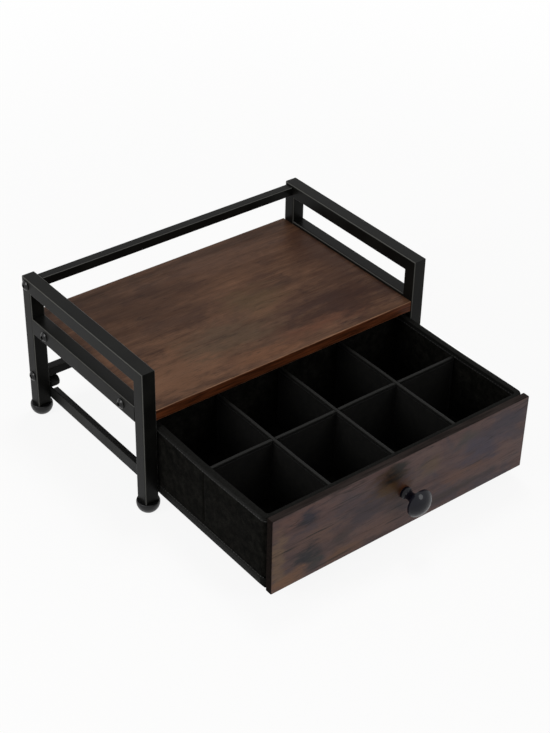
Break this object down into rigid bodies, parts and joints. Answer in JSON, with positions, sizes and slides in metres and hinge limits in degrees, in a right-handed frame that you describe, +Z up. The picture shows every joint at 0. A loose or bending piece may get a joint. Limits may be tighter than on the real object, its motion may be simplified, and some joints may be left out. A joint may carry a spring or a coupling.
{
  "type": "tea bag drawer box",
  "caption": "Low stand of black square steel tube with a wooden tabletop between guard rails and one wide fabric drawer, divided into compartments for tea bags.",
  "frame": {"origin": "on the floor, under the middle of the whole box with its drawer pulled out", "axes": "+Z up from the floor, +X to the right of someone facing the drawer, -Y the way the drawer opens"},
  "size_m": [0.3532, 0.4152, 0.1635],
  "materials": {
    "frame_paint": "satin",
    "runner_paint": "satin",
    "bolt_black": "gloss",
    "foot_plastic": "satin",
    "buffer_rubber": "satin",
    "insert_steel": "satin",
    "tabletop_wood": "satin",
    "drawer_front_wood": "satin",
    "knob_enamel": "gloss",
    "screw_steel": "satin",
    "drawer_fabric": "matte",
    "divider_fabric": "matte",
    "binding_tape": "matte"
  },
  "bodies": {
    "frame": {"left_front_post": "frame_paint", "left_rear_post": "frame_paint", "left_top_rail": "frame_paint", "left_mid_rail": "frame_paint", "left_runner": "runner_paint", "left_stop_stud": "frame_paint", "left_stop_buffer": "buffer_rubber", "front_left_foot": "foot_plastic", "rear_left_foot": "foot_plastic", "right_front_post": "frame_paint", "right_rear_post": "frame_paint", "right_top_rail": "frame_paint", "right_mid_rail": "frame_paint", "right_runner": "runner_paint", "right_stop_stud": "frame_paint", "right_stop_buffer": "buffer_rubber", "front_right_foot": "foot_plastic", "rear_right_foot": "foot_plastic", "back_top_rail": "frame_paint", "back_lower_rail": "frame_paint", "rail_end_plugs": "insert_steel", "rail_bolts": "bolt_black", "tabletop": "tabletop_wood", "tabletop_inserts": "insert_steel", "tabletop_bolts": "bolt_black"},
    "drawer": {"drawer_front_panel": "drawer_front_wood", "drawer_knob": "knob_enamel", "knob_screw": "screw_steel", "panel_screws": "screw_steel", "drawer_left_wall": "drawer_fabric", "drawer_right_wall": "drawer_fabric", "drawer_front_wall": "drawer_fabric", "drawer_back_wall": "drawer_fabric", "drawer_floor": "drawer_fabric", "drawer_base_board": "divider_fabric", "rim_binding": "binding_tape", "base_hem": "binding_tape", "row_divider": "divider_fabric", "column_divider_1": "divider_fabric", "column_divider_2": "divider_fabric", "column_divider_3": "divider_fabric"}
  },
  "joints": [
    {"name": "drawer_slide", "type": "slide", "parent": "frame", "child": "drawer", "axis": [0, 1, 0], "range_m": [0, 0.172]}
  ]
}
